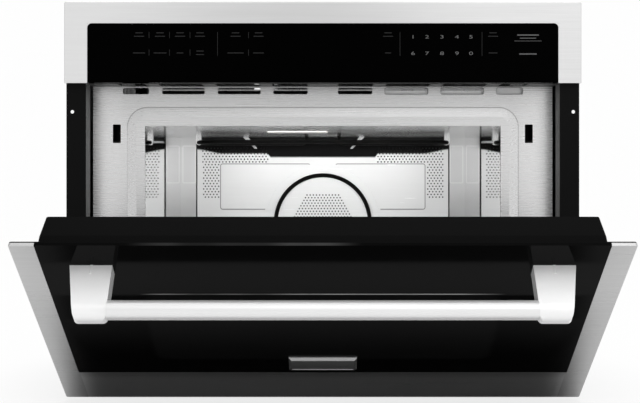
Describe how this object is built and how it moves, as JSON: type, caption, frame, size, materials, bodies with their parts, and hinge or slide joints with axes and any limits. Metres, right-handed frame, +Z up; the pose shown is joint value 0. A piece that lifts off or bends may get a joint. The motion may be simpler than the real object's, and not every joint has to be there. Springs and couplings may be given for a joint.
{
  "type": "built-in convection microwave oven",
  "caption": "Built-in convection microwave oven with a black glass control panel, stainless trim and a drop-down glass door with a bar handle, shown part open.",
  "frame": {"origin": "on the cabinet shelf, under the middle of the body: the middle support rail's underside", "axes": "+Z up, the front and its door face -Y, +X to the right of someone who faces the oven"},
  "size_m": [0.756, 0.8392, 0.5804],
  "materials": {
    "stainless": "brushed stainless steel, grain along the face",
    "stainless_plate": "satin stainless sheet",
    "stainless_bright": "bright rolled stainless sheet",
    "zinc_sheet": "zinc coated sheet",
    "zinc_parts": "zinc plated",
    "black_enamel": "black enamel, satin",
    "black_glass": "black printed glass, glossy",
    "clear_glass": "clear tempered glass",
    "black_plastic": "moulded, fine texture",
    "white_plastic": "moulded, heat resistant",
    "display": "display block",
    "board_green": "lacquered circuit board",
    "heater_black": "oxidised heater sheath",
    "aluminium": "bare aluminium",
    "dark_iron": "varnished laminations",
    "mica": "mica sheet",
    "lamp_glass": "lamp bulb on its socket"
  },
  "bodies": {
    "chassis": {"base_pan": "zinc_sheet", "support_rails": "zinc_sheet", "case_wrap": "zinc_sheet", "rear_panel": "zinc_sheet", "conduit_bush": "zinc_parts", "case_screws": "zinc_parts", "front_frame": "black_enamel", "recess_liner": "stainless_plate", "trim_frame": "stainless", "control_glass": "black_glass", "control_carrier": "black_plastic", "control_board": "board_green", "display_module": "display", "front_plate": "stainless_plate", "cavity_left_wall": "stainless_bright", "cavity_right_wall": "stainless_bright", "cavity_roof": "stainless_bright", "cavity_floor": "stainless_bright", "cavity_back_wall": "stainless_bright", "rear_grille_panel": "stainless_plate", "ring_heater": "heater_black", "top_heater": "heater_black", "heater_clips": "zinc_parts", "fan_chamber": "zinc_sheet", "convection_motor": "dark_iron", "waveguide": "zinc_sheet", "magnetron": "aluminium", "hv_transformer": "dark_iron", "hv_capacitor": "zinc_sheet", "blower_housing": "zinc_sheet", "blower_motor": "dark_iron", "lamp_housing": "zinc_sheet", "cavity_lamp": "lamp_glass", "steam_duct": "zinc_sheet", "air_baffle": "zinc_sheet", "waveguide_cover": "mica", "turntable_motor": "dark_iron", "latch_brackets": "black_plastic", "interlock_switches": "black_plastic", "hinge_brackets": "zinc_sheet", "hinge_pins": "zinc_parts", "hinge_springs": "zinc_parts"},
    "door": {"door_skin": "stainless", "door_glass": "black_glass", "door_liner": "black_enamel", "door_screen": "zinc_sheet", "inner_glass": "clear_glass", "choke_cover": "black_plastic", "handle_bar": "stainless", "handle_arms": "stainless", "handle_screws": "zinc_parts", "hinge_arms": "zinc_sheet"},
    "left_hook": {"latch_hook_left": "zinc_parts"},
    "right_hook": {"latch_hook_right": "zinc_parts"},
    "fan": {"convection_fan": "aluminium", "fan_shaft": "zinc_parts"},
    "blower": {"blower_wheel": "white_plastic"},
    "turntable": {"drive_coupler": "zinc_parts", "turntable_tray": "clear_glass"},
    "rollers": {"roller_ring": "white_plastic"}
  },
  "joints": [
    {"name": "door_hinge", "type": "hinge", "parent": "chassis", "child": "door", "pos_m": [0, -0.192, 0.014], "axis": [1, 0, 0], "range_deg": [-51.4, 38.6], "stiffness_Nm_per_rad": 18, "springref_deg": -63.03, "deforming": ["hinge_springs"]},
    {"name": "left_hook_pivot", "type": "hinge", "parent": "door", "child": "left_hook", "pos_m": [-0.3125, -0.48415, 0.19092], "axis": [1, 0, 0], "range_deg": [0, 8], "stiffness_Nm_per_rad": 0.5},
    {"name": "right_hook_pivot", "type": "hinge", "parent": "door", "child": "right_hook", "pos_m": [0.3125, -0.48415, 0.19092], "axis": [1, 0, 0], "range_deg": [0, 8], "stiffness_Nm_per_rad": 0.5},
    {"name": "fan_spin", "type": "hinge", "parent": "chassis", "child": "fan", "pos_m": [0, 0.22, 0.2046], "axis": [0, 1, 0], "continuous": true},
    {"name": "blower_spin", "type": "hinge", "parent": "chassis", "child": "blower", "pos_m": [-0.049, 0.18, 0.4377], "axis": [1, 0, 0], "continuous": true},
    {"name": "turntable_spin", "type": "hinge", "parent": "chassis", "child": "turntable", "pos_m": [0, -0.0075, 0.1], "axis": [0, 0, 1], "continuous": true},
    {"name": "roller_ring_spin", "type": "hinge", "parent": "chassis", "child": "rollers", "pos_m": [0, -0.0075, 0.1], "axis": [0, 0, 1], "continuous": true}
  ],
  "couplings": [
    {"joint": "roller_ring_spin", "follows": "turntable_spin", "ratio": 0.5}
  ]
}
